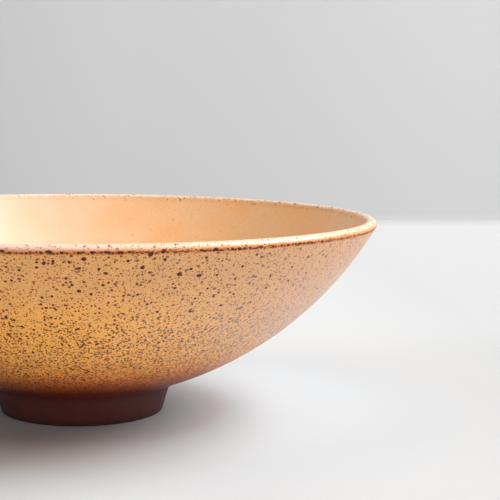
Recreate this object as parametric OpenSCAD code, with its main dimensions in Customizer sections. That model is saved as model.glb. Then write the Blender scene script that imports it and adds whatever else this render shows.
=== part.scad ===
// Wide, shallow salad bowl of thrown stoneware: a clay wall on a turned foot ring, glazed in two coats.
// The origin is the middle of the foot on the table, with +Z up. All sizes are in millimetres.
// Every piece is one turn about Z of a flat half section, drawn with the radius along X and the height along Y.

/* [Bowl] */
// Diameter across the sharp edge under the lip
edge_d = 300; // [270:1:330]
// Height from the table to the top of the lip
bowl_h = 101; // [92:1:110]
// Height of the inside floor at its middle
floor_h = 15; // [13.5:0.5:17]
// Thickness of the floor at its middle, from the inside down to the outer wall's arc
floor_t = 7.4; // [6.6:0.1:8.6]
// Thickness halfway up the wall, glaze to glaze
wall_t = 5.4; // [4.9:0.1:6.4]

/* [Lip] */
// Radius of the rounded lip
lip_r = 2.9; // [2.6:0.1:3.2]
// Depth of the sharp edge below the top of the lip
edge_drop = 3.1; // [2.7:0.1:3.5]

/* [Glaze] */
// Thickness of the glaze on the clay
glaze_t = 0.45; // [0.35:0.05:0.55]
// Half the width of the bare clay line along the sharp edge
bare_w = 0.4; // [0.35:0.05:0.6]
// Radius of the thick roll along the end of the outer glaze
roll_r = 0.8; // [0.7:0.05:1]

/* [Foot] */
// Diameter of the foot where it stands on the table
foot_d = 82.6; // [76:0.2:88]
// Width of the foot's standing face with the rounded edges beside it
foot_w = 7.2; // [6:0.1:8.6]
// Outward lean of the foot's outside, in degrees from upright
foot_lean = 16; // [12:1:18]
// Inward lean of the foot's inside, in degrees from upright
well_lean = 10; // [6:1:14]
// Radius of the rounded edges beside the standing face
foot_edge_r = 0.9; // [0.7:0.1:1.2]
// Radius of the cove turned between the foot's outside and the wall
cove_r = 8; // [7:0.1:9]
// Depth that the cove is turned into the wall's arc
cove_cut = 0.1; // [0.05:0.01:0.2]
// Diameter of the flat turned underside in the middle of the foot's well
flat_d = 34; // [28:1:40]

/* [Hidden] */
$fn = 240;

clay_colour = "#4F2C26";
outer_glaze_colour = "#CE8F4B";
liner_glaze_colour = "#E0AC6C";

// Facets of the lip's round and of each round at the foot, and sides of the small rounds of the glaze
lip_steps = 16;
foot_steps = 6;
glaze_sides = 12;

// The sharp edge, and the middle of the lip's round, which passes through it
edge = [edge_d / 2, bowl_h - edge_drop];
lip = [edge.x - sqrt(pow(lip_r, 2) - pow(edge_drop - lip_r, 2)), bowl_h - lip_r];
edge_angle = angle_from_down(edge - lip);

// The inside is part of a sphere that starts level at the floor and runs smoothly into the lip
inner_h = (pow(lip.x, 2) + pow(lip.y, 2) - pow(lip_r - floor_h, 2)) / (2 * (bowl_h - floor_h));
inner_c = [0, inner_h];
inner_r = inner_h - floor_h;
lip_angle = angle_from_down(lip - inner_c);

// A place in the middle of the wall, as far below the lip's middle as the lip's radius
under_lip = lip + lip_r * down(lip_angle - 90);

// The outer wall is an arc through the floor's underside, a point halfway up and the sharp edge
base = [0, floor_h - floor_t];
halfway = inner_c + (inner_r + wall_t) * down(lip_angle / 2);
outer_c = circle_middle(base, halfway, edge);
outer_r = norm(edge - outer_c);
clay_r = outer_r - glaze_t;
outer_edge_angle = angle_from_down(edge - outer_c);

// The two coats part along the mitre of the sharp edge, which starts in the middle of the wall
mitre_angle = (edge_angle + outer_edge_angle) / 2;
mitre_start = edge - wall_t / 2 * down(mitre_angle);

// The foot's outside rises along foot_up, and foot_side points square out of it
foot_out = [foot_d / 2, 0];
foot_in = [foot_d / 2 - foot_w, 0];
foot_up = [sin(foot_lean), cos(foot_lean)];
foot_side = down(90 - foot_lean);
well_up = [-sin(well_lean), cos(well_lean)];

// The cove runs smoothly out of the foot's outside and cuts a little into the clay's arc
cove_reach = clay_r + cove_r - cove_cut;
cove_line = foot_out + cove_r * foot_side - outer_c;
cove_up = -(cove_line * foot_up) - sqrt(pow(cove_line * foot_up, 2) - cove_line * cove_line + pow(cove_reach, 2));
cove_c = outer_c + cove_line + cove_up * foot_up;
cove_angle = angle_from_down(cove_c - outer_c);

// The outer glaze ends in a roll about the point where the cove leaves the clay's arc
line_angle = cove_angle
    + acos((pow(clay_r, 2) + pow(cove_reach, 2) - pow(cove_r, 2)) / (2 * clay_r * cove_reach));
line_end = outer_c + clay_r * down(line_angle);

// The foot ring's flat seat, where its outside runs into the cove
seat_h = cove_c.y - cove_r * foot_side.y;

// The flat underside, where the clay's arc reaches its diameter
flat_h = outer_c.y - sqrt(pow(clay_r, 2) - pow(flat_d / 2 - outer_c.x, 2));

// A section is cut by lines that run this far, well past the part
reach = 2 * edge_d;

// Direction at an angle in degrees from straight down, turning outward
function down(angle) = [sin(angle), -cos(angle)];

// Angle of a vector in degrees from straight down, turning outward
function angle_from_down(v) = atan2(v.x, -v.y);

// Points along an arc about a middle
function arc(middle, r, start_angle, end_angle, steps) = [
    for (i = [0 : steps]) middle + r * down(start_angle + (end_angle - start_angle) * i / steps)
];

// Middle of the circle through three points
function circle_middle(a, b, c) =
    let (
        ab = b - a,
        ac = c - a,
        twice_area = 2 * (ab.x * ac.y - ab.y * ac.x)
    )
    a + [ac.y * (ab * ab) - ab.y * (ac * ac), ab.x * (ac * ac) - ac.x * (ab * ab)] / twice_area;

// Point on the foot's outside at a height
function foot_outside(h) = foot_out + h / foot_up.y * foot_up;

// Point on the foot's inside at a height
function well_side(h) = foot_in + h / well_up.y * well_up;

// Distance from a corner to where a round touches its two sides, which run along a and b
function corner_cut(r, a, b) = r / tan(acos(a * b) / 2);

// A full disc about a point
module disc(middle, r) {
    translate(middle)
        circle(r = r);
}

// The part of a section between two directions, seen from a point
module slice(from, start_angle, end_angle) {
    polygon([
        from,
        from + reach * down(start_angle),
        from + reach * down((start_angle + end_angle) / 2),
        from + reach * down(end_angle)
    ]);
}

// Half section of the bowl without its foot, drawn a given depth below the finished surface
module shell_section(depth) {
    intersection() {
        disc(outer_c, outer_r - depth);
        union() {
            difference() {
                slice(inner_c, 0, lip_angle);
                disc(inner_c, inner_r + depth);
            }
            polygon(concat(
                [under_lip, under_lip + 2 * lip_r * down(lip_angle)],
                arc(lip, lip_r - depth, edge_angle, lip_angle + 180, lip_steps)
            ));
        }
    }
}

// The spot about the sharp edge that the glaze leaves bare
module bare_spot() {
    translate(edge)
        circle(r = norm([glaze_t, bare_w]), $fn = glaze_sides);
}

// Everything outside the middle of the wall, from an angle at the outer arc's middle up to the mitre
module outside(start_angle) {
    difference() {
        slice(outer_c, start_angle, outer_edge_angle);
        disc(outer_c, outer_r - wall_t / 2);
        slice(mitre_start, mitre_angle, mitre_angle + 90);
    }
}

// Half section of the clay body, with its shoulder down to the foot's seat and its flat underside
module body_section() {
    difference() {
        union() {
            shell_section(glaze_t);
            polygon([
                well_side(seat_h),
                [cove_c.x, seat_h],
                outer_c + outer_r * down(cove_angle),
                outer_c + (outer_r - wall_t / 2) * down(line_angle),
                outer_c + (outer_r - wall_t / 2) * down(angle_from_down(foot_in - outer_c))
            ]);
        }
        disc(cove_c, cove_r);
        square([well_side(flat_h).x, flat_h]);
    }
    intersection() {
        shell_section(0);
        bare_spot();
    }
}

// Half section of the foot ring, with a round at each edge of its standing face, fitted under the clay's arc
module foot_section() {
    in_cut = corner_cut(foot_edge_r, well_up, [1, 0]);
    out_cut = corner_cut(foot_edge_r, foot_up, [-1, 0]);
    difference() {
        polygon(concat(
            arc(foot_in + [in_cut, foot_edge_r], foot_edge_r, well_lean - 90, 0, foot_steps),
            arc(foot_out + [-out_cut, foot_edge_r], foot_edge_r, 0, 90 - foot_lean, foot_steps),
            [foot_outside(seat_h), well_side(seat_h)]
        ));
        disc(outer_c, clay_r);
    }
}

// Thrown clay body: floor, wall, lip with its bare edge, and the shoulder over the foot
module bowl_wall() {
    color(clay_colour)
        rotate_extrude()
            body_section();
}

// Turned ring that the bowl stands on
module foot_ring() {
    color(clay_colour)
        rotate_extrude()
            foot_section();
}

// Coat on the outer wall, from the bare edge down to the roll at the glaze line
module outer_glaze() {
    color(outer_glaze_colour)
        rotate_extrude()
            difference() {
                union() {
                    intersection() {
                        shell_section(0);
                        outside(line_angle);
                    }
                    translate(line_end)
                        circle(r = roll_r, $fn = glaze_sides);
                }
                body_section();
            }
}

// Coat on the whole inside and over the lip to the bare edge
module liner_glaze() {
    color(liner_glaze_colour)
        rotate_extrude()
            difference() {
                shell_section(0);
                body_section();
                outside(0);
            }
}

bowl_wall();
foot_ring();
outer_glaze();
liner_glaze();
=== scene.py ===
"""Speckled stoneware salad bowl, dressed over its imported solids.

Every length is in metres. The origin is the middle of the foot on the table, +Z is up and +Y points
away from the photograph's viewer. The four pieces of the bowl are turned about Z from flat sections
that repeat the solids' own sizes, but for the bare line along the sharp edge: it is narrower here, as
the photograph shows it. The large iron spots are a fifth piece that lies on the glaze.
"""

from __future__ import annotations

import logging
import math
import random
from collections.abc import Sequence
from dataclasses import dataclass
from enum import Enum
from functools import cached_property
from typing import Any, Union

import bpy
import numpy as np
from mathutils import Matrix, Vector
from mathutils.bvhtree import BVHTree


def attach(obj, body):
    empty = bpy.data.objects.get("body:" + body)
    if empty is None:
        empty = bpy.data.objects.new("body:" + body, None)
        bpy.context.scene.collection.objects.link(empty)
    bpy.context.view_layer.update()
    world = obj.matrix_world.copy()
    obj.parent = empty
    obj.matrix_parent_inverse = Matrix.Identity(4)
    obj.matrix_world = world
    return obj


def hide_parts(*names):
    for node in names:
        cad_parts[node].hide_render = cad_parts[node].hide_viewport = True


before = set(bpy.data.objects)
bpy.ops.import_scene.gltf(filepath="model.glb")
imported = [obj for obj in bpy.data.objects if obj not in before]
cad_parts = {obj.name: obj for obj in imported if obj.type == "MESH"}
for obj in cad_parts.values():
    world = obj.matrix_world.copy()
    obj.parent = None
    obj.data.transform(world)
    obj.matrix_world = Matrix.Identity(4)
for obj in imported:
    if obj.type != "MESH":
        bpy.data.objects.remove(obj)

log = logging.getLogger("salad_bowl")

MM = 0.001
BODY = "root"
BAKE_MAP = "OFBake"
IRON_FIELD = "iron"
AXIS_TOUCH = 1e-7
SHARP_ANGLE = math.radians(50)
TURN = 2 * math.pi
HALF = 0.5
GLAZED = 1
COARSE_OCTAVES = 1.0
PLAIN_OCTAVES = 2.0
CLOUD_OCTAVES = 3.0
WHITE = (1.0, 1.0, 1.0, 1.0)
MIX_SHARE, MIX_FIRST, MIX_SECOND, MIX_RESULT = 0, 6, 7, 2

Colour = tuple[float, float, float]
Corner = tuple[int, int, int]
Seat = tuple[Vector, Vector, float, float]


class Slot(Enum):
    """Material slots of the record, one for each kind of piece."""

    CLAY = "clay_body"
    FOOT = "clay_foot"
    OUTER = "outer_glaze"
    LINER = "liner_glaze"


class Coat(Enum):
    """The two glaze coats, which are speckled and shaded in different ways."""

    OUTER = "outer"
    LINER = "liner"


def linear(red: int, green: int, blue: int) -> Colour:
    """Turns a colour as a screen shows it into the linear values that a shader takes.

    Args:
        red: Red from 0 to 255.
        green: Green from 0 to 255.
        blue: Blue from 0 to 255.

    Returns:
        The three linear values from 0 to 1.
    """
    full, knee, slope = 255, 0.04045, 12.92
    lift, stretch, power = 0.055, 1.055, 2.4

    def channel(level: int) -> float:
        """Linear value of one channel."""
        share = level / full
        return share / slope if share <= knee else ((share + lift) / stretch) ** power

    return channel(red), channel(green), channel(blue)


def put(name: str, data: bpy.types.ID) -> bpy.types.Object:
    """Puts a mesh, lamp or camera into the scene as a new object."""
    thing = bpy.data.objects.new(name, data)
    bpy.context.scene.collection.objects.link(thing)
    return thing


def down(angle: float) -> np.ndarray:
    """Unit vector at an angle from straight down, turning outward."""
    return np.array([math.sin(angle), -math.cos(angle)])


def angle_from_down(line: np.ndarray) -> float:
    """Angle of a flat vector from straight down, turning outward."""
    return math.atan2(line[0], -line[1])


def arc(middle: np.ndarray, radius: float, start: float, end: float, steps: int) -> np.ndarray:
    """Points along an arc.

    Args:
        middle: Middle of the arc, as radius and height.
        radius: Radius of the arc.
        start: First angle from straight down.
        end: Last angle from straight down.
        steps: Number of steps between the two.

    Returns:
        One row of radius and height for each point.
    """
    angles = np.linspace(start, end, steps + 1)
    return middle + radius * np.column_stack([np.sin(angles), -np.cos(angles)])


def circle_middle(a: np.ndarray, b: np.ndarray, c: np.ndarray) -> np.ndarray:
    """Middle of the circle through three points.

    Args:
        a: First point.
        b: Second point.
        c: Third point.

    Returns:
        The middle as radius and height.
    """
    ab = b - a
    ac = c - a
    twice_area = 2 * (ab[0] * ac[1] - ab[1] * ac[0])
    across = ac[1] * (ab @ ab) - ab[1] * (ac @ ac)
    along = ab[0] * (ac @ ac) - ac[0] * (ab @ ab)
    return a + np.array([across, along]) / twice_area


@dataclass(frozen=True)
class BowlForm:
    """Sizes that the bowl is thrown, turned and glazed to, with the places that follow from them."""

    edge_d: float = 300 * MM
    bowl_h: float = 101 * MM
    floor_h: float = 15 * MM
    floor_t: float = 7.4 * MM
    wall_t: float = 5.4 * MM
    lip_r: float = 2.9 * MM
    edge_drop: float = 3.1 * MM
    glaze_t: float = 0.45 * MM
    bare_w: float = 0.22 * MM
    roll_r: float = 0.8 * MM
    foot_d: float = 82.6 * MM
    foot_w: float = 7.2 * MM
    foot_lean: float = math.radians(16)
    well_lean: float = math.radians(10)
    foot_edge_r: float = 0.9 * MM
    cove_r: float = 8 * MM
    cove_cut: float = 0.1 * MM
    flat_d: float = 34 * MM

    @cached_property
    def edge(self) -> np.ndarray:
        """The sharp edge under the lip."""
        return np.array([self.edge_d / 2, self.bowl_h - self.edge_drop])

    @cached_property
    def lip(self) -> np.ndarray:
        """Middle of the lip's round, which passes through the sharp edge."""
        inset = math.sqrt(self.lip_r**2 - (self.edge_drop - self.lip_r) ** 2)
        return np.array([self.edge[0] - inset, self.bowl_h - self.lip_r])

    @cached_property
    def edge_angle(self) -> float:
        """Angle of the sharp edge seen from the lip's middle."""
        return angle_from_down(self.edge - self.lip)

    @cached_property
    def inner_c(self) -> np.ndarray:
        """Middle of the inside's sphere, which runs smoothly into the lip."""
        reach = self.lip @ self.lip - (self.lip_r - self.floor_h) ** 2
        return np.array([0.0, reach / (2 * (self.bowl_h - self.floor_h))])

    @cached_property
    def inner_r(self) -> float:
        """Radius of the inside."""
        return self.inner_c[1] - self.floor_h

    @cached_property
    def lip_angle(self) -> float:
        """Angle at which the inside runs into the lip."""
        return angle_from_down(self.lip - self.inner_c)

    @cached_property
    def outer_c(self) -> np.ndarray:
        """Middle of the outer wall's arc."""
        base = np.array([0.0, self.floor_h - self.floor_t])
        halfway = self.inner_c + (self.inner_r + self.wall_t) * down(self.lip_angle / 2)
        return circle_middle(base, halfway, self.edge)

    @cached_property
    def outer_r(self) -> float:
        """Radius of the finished outer wall."""
        return float(np.linalg.norm(self.edge - self.outer_c))

    @cached_property
    def clay_r(self) -> float:
        """Radius of the clay under the outer glaze."""
        return self.outer_r - self.glaze_t

    @cached_property
    def outer_edge_angle(self) -> float:
        """Angle of the sharp edge seen from the outer arc's middle."""
        return angle_from_down(self.edge - self.outer_c)

    @cached_property
    def foot_out(self) -> np.ndarray:
        """Outer corner of the foot on the table, before it is rounded."""
        return np.array([self.foot_d / 2, 0.0])

    @cached_property
    def foot_in(self) -> np.ndarray:
        """Inner corner of the foot on the table, before it is rounded."""
        return np.array([self.foot_d / 2 - self.foot_w, 0.0])

    @cached_property
    def foot_up(self) -> np.ndarray:
        """Direction in which the foot's outside rises."""
        return np.array([math.sin(self.foot_lean), math.cos(self.foot_lean)])

    @cached_property
    def well_up(self) -> np.ndarray:
        """Direction in which the foot's inside rises."""
        return np.array([-math.sin(self.well_lean), math.cos(self.well_lean)])

    @cached_property
    def foot_side(self) -> np.ndarray:
        """Direction square out of the foot's outside."""
        return down(math.pi / 2 - self.foot_lean)

    @cached_property
    def cove_reach(self) -> float:
        """Distance from the outer arc's middle to the cove's middle."""
        return self.clay_r + self.cove_r - self.cove_cut

    @cached_property
    def cove_c(self) -> np.ndarray:
        """Middle of the cove between the foot and the wall."""
        line = self.foot_out + self.cove_r * self.foot_side - self.outer_c
        along = line @ self.foot_up
        rise = -along - math.sqrt(along**2 - line @ line + self.cove_reach**2)
        return self.outer_c + line + rise * self.foot_up

    @cached_property
    def line_angle(self) -> float:
        """Angle at which the cove leaves the clay's arc, where the glaze ends."""
        numerator = self.clay_r**2 + self.cove_reach**2 - self.cove_r**2
        opening = math.acos(numerator / (2 * self.clay_r * self.cove_reach))
        return angle_from_down(self.cove_c - self.outer_c) + opening

    @cached_property
    def line_end(self) -> np.ndarray:
        """Point on the clay where the glaze ends."""
        return self.outer_c + self.clay_r * down(self.line_angle)

    @cached_property
    def seat_h(self) -> float:
        """Height of the foot ring's seat."""
        return float(self.cove_c[1] - self.cove_r * self.foot_side[1])

    @cached_property
    def flat_h(self) -> float:
        """Height of the flat underside inside the foot."""
        return float(self.outer_c[1] - math.sqrt(self.clay_r**2 - (self.flat_d / 2 - self.outer_c[0]) ** 2))

    def foot_outside(self, height: float) -> np.ndarray:
        """Point on the foot's outside at a height."""
        return self.foot_out + height / self.foot_up[1] * self.foot_up

    def well_side(self, height: float) -> np.ndarray:
        """Point on the foot's inside at a height."""
        return self.foot_in + height / self.well_up[1] * self.well_up


@dataclass(frozen=True)
class Hand:
    """Small unevenness that the potter's hand leaves, the same for every piece."""

    rim_rise: float = 0.14 * MM
    rim_spread: float = 0.12 * MM
    line_wave: float = 0.3 * MM
    line_reach: float = 12 * MM
    spread_turn: float = 1.0
    rim_phases: tuple[float, ...] = (0.7, 2.1, 4.4)
    line_phases: tuple[float, ...] = (1.3, 5.2, 3.6)
    rim_lobes: tuple[int, ...] = (2, 3, 5)
    line_lobes: tuple[int, ...] = (3, 7, 16)

    def wave(self, theta: np.ndarray, lobes: Sequence[int], phases: Sequence[float]) -> np.ndarray:
        """Sum of a few waves round the bowl.

        Args:
            theta: Angles round the bowl.
            lobes: Number of crests of each wave.
            phases: Phase of each wave.

        Returns:
            A value of about -1 to 1 for each angle.
        """
        weights = [1 / (k + 1) for k in range(len(lobes))]
        crests = zip(lobes, phases, weights)
        total = sum(np.sin(count * theta + phase) * weight for count, phase, weight in crests)
        return total / sum(weights)

    def sway(self, points: np.ndarray, form: BowlForm) -> np.ndarray:
        """Moves points of any piece as the hand-thrown wall is off true.

        Args:
            points: Rows of x, y and z.
            form: Sizes of the bowl.

        Returns:
            The moved rows.
        """
        theta = np.arctan2(points[:, 1], points[:, 0])
        rise = np.clip(points[:, 2] / form.bowl_h, 0, 1) ** 2
        pull = self.wave(theta + self.spread_turn, self.rim_lobes, self.line_phases)
        spread = self.rim_spread * rise * pull
        moved = points.copy()
        moved[:, 0] -= np.abs(spread) * np.cos(theta)
        moved[:, 1] -= np.abs(spread) * np.sin(theta)
        moved[:, 2] -= self.rim_rise * rise * (1 + self.wave(theta, self.rim_lobes, self.rim_phases)) / 2
        return moved

    def drip(self, points: np.ndarray, form: BowlForm) -> np.ndarray:
        """Moves the lower end of the outer glaze up and down its line.

        Args:
            points: Rows of x, y and z of the outer glaze.
            form: Sizes of the bowl.

        Returns:
            The moved rows.
        """
        radius = np.hypot(points[:, 0], points[:, 1])
        theta = np.arctan2(points[:, 1], points[:, 0])
        phi = np.arctan2(radius - form.outer_c[0], form.outer_c[1] - points[:, 2])
        above = np.clip((phi - form.line_angle) * form.outer_r / self.line_reach, 0, 1)
        wander = self.wave(theta, self.line_lobes, self.line_phases)
        turn = self.line_wave / form.outer_r * (1 - above) ** 2 * wander
        depth = np.hypot(radius - form.outer_c[0], form.outer_c[1] - points[:, 2])
        new_radius = form.outer_c[0] + depth * np.sin(phi + turn)
        moved = points.copy()
        moved[:, 0] = new_radius * np.cos(theta)
        moved[:, 1] = new_radius * np.sin(theta)
        moved[:, 2] = form.outer_c[1] - depth * np.cos(phi + turn)
        return moved


@dataclass(frozen=True)
class Run:
    """A stretch of a section, whether it is seen on the finished bowl, and the number of its finish."""

    points: np.ndarray
    shown: bool = True
    finish: int = 0


@dataclass
class Turned:
    """A turned surface, with the faces of one stretch of its section after those of the last."""

    points: np.ndarray
    faces: list[list[int]]
    corners: list[Corner]


class Lathe:
    """Turns flat sections about Z into meshes with smooth shading and a map for baking."""

    segments: int = 384
    strips: int = 2
    strip_gap: float = 0.01
    hidden_share: float = 0.04

    def __init__(self, form: BowlForm, hand: Hand) -> None:
        """Keeps the bowl's sizes and its unevenness.

        Args:
            form: Sizes of the bowl.
            hand: Unevenness of the thrown wall.
        """
        self.form = form
        self.hand = hand

    def rings(self, section: np.ndarray, closed: bool) -> Turned:
        """Vertices and faces of a turned section.

        Args:
            section: Rows of radius and height.
            closed: Whether the section is a loop, or else runs from the axis to the axis.

        Returns:
            The turned surface. Each corner has its face's step round, its own step round and its step along.
        """
        theta = np.arange(self.segments) * TURN / self.segments
        vertices: list[np.ndarray] = []
        starts: list[int] = []
        sizes: list[int] = []
        count = 0
        for radius, height in section:
            poles = radius < AXIS_TOUCH
            ring = np.array([[0.0, 0.0, height]])
            if not poles:
                level = np.full(self.segments, height)
                ring = np.column_stack([radius * np.cos(theta), radius * np.sin(theta), level])
            vertices.append(ring)
            starts.append(count)
            sizes.append(len(ring))
            count += len(ring)
        faces: list[list[int]] = []
        corners: list[Corner] = []
        total = len(section)
        for j in range(total if closed else total - 1):
            k = (j + 1) % total
            for i in range(self.segments):
                n = (i + 1) % self.segments
                near = {starts[j] + i % sizes[j]: (i, i, j), starts[j] + n % sizes[j]: (i, i + 1, j)}
                far = {starts[k] + n % sizes[k]: (i, i + 1, j + 1), starts[k] + i % sizes[k]: (i, i, j + 1)}
                faces.append([*near, *far])
                corners += [*near.values(), *far.values()]
        return Turned(np.vstack(vertices), faces, corners)

    def turn(self, name: str, runs: Sequence[Run], closed: bool, dripping: bool = False) -> bpy.types.Object:
        """Turns a section into a finished object.

        Args:
            name: Name of the new object.
            runs: Stretches of the section in order.
            closed: Whether the section is a loop.
            dripping: Whether the lower end follows the wavy glaze line.

        Returns:
            The new object, linked to the scene.
        """
        section = np.vstack([run.points for run in runs])
        shown = np.concatenate([np.full(len(run.points), run.shown) for run in runs])
        finishes = np.concatenate([np.full(len(run.points), run.finish) for run in runs])
        turned = self.rings(section, closed)
        points = self.hand.drip(turned.points, self.form) if dripping else turned.points
        points = self.hand.sway(points, self.form)
        mesh = bpy.data.meshes.new(name)
        mesh.from_pydata(points.tolist(), [], turned.faces)
        mesh.polygons.foreach_set("material_index", np.repeat(finishes, self.segments)[: len(turned.faces)])
        chart = mesh.uv_layers.new(name=BAKE_MAP)
        chart.data.foreach_set("uv", self.lay_out(section, shown, turned.corners).ravel())
        mesh.update()
        self.face_outward(mesh)
        mesh.shade_smooth()
        mesh.set_sharp_from_angle(angle=SHARP_ANGLE)
        return put(name, mesh)

    def lay_out(self, section: np.ndarray, shown: np.ndarray, corners: list[Corner]) -> np.ndarray:
        """Lays the turned surface out flat in strips for baking, with little room for what is hidden.

        Args:
            section: Rows of radius and height.
            shown: Whether the stretch after each point is seen.
            corners: Steps of each face's corners, as rings() gives them.

        Returns:
            Place of each corner on the map.
        """
        stretches = np.linalg.norm(np.roll(section, -1, axis=0) - section, axis=1)
        stretches *= np.where(shown, 1.0, self.hidden_share)
        marks = np.concatenate([[0.0], np.cumsum(stretches)])
        steps = np.array(corners)
        levels = marks[steps[:, 2]] / marks[steps[:, 2].max()]
        per_strip = self.segments // self.strips
        strip = steps[:, 0] // per_strip
        across = (steps[:, 1] - strip * per_strip) / per_strip
        room = self.strip_gap + (1 - 2 * self.strip_gap) * levels
        return np.column_stack([across, (strip + room) / self.strips])

    @staticmethod
    def face_outward(mesh: bpy.types.Mesh) -> None:
        """Flips a closed mesh whose faces look inward.

        Args:
            mesh: The mesh to flip.
        """
        mesh.calc_loop_triangles()
        corners = np.array([[mesh.vertices[i].co for i in tri.vertices] for tri in mesh.loop_triangles])
        crossed = np.cross(corners[:, 1] - corners[:, 0], corners[:, 2] - corners[:, 0])
        if float((corners[:, 0] * crossed).sum()) < 0:
            mesh.flip_normals()


Value = Union["Link", float, int]


class Link:
    """One output of a shader graph. Arithmetic on it adds Math nodes."""

    def __init__(self, graph: "Graph", socket: bpy.types.NodeSocket) -> None:
        """Wraps a socket.

        Args:
            graph: Graph that the socket is in.
            socket: The output socket.
        """
        self.graph = graph
        self.socket = socket

    def other(self, output: str) -> "Link":
        """Another output of the same node."""
        return Link(self.graph, self.socket.node.outputs[output])

    def __add__(self, term: Value) -> "Link":
        """This value plus another."""
        return self.graph.math("ADD", self, term)

    def __radd__(self, term: Value) -> "Link":
        """Another value plus this."""
        return self.graph.math("ADD", term, self)

    def __sub__(self, term: Value) -> "Link":
        """This value less another."""
        return self.graph.math("SUBTRACT", self, term)

    def __rsub__(self, term: Value) -> "Link":
        """Another value less this."""
        return self.graph.math("SUBTRACT", term, self)

    def __mul__(self, term: Value) -> "Link":
        """This value times another."""
        return self.graph.math("MULTIPLY", self, term)

    def __rmul__(self, term: Value) -> "Link":
        """Another value times this."""
        return self.graph.math("MULTIPLY", term, self)


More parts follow.
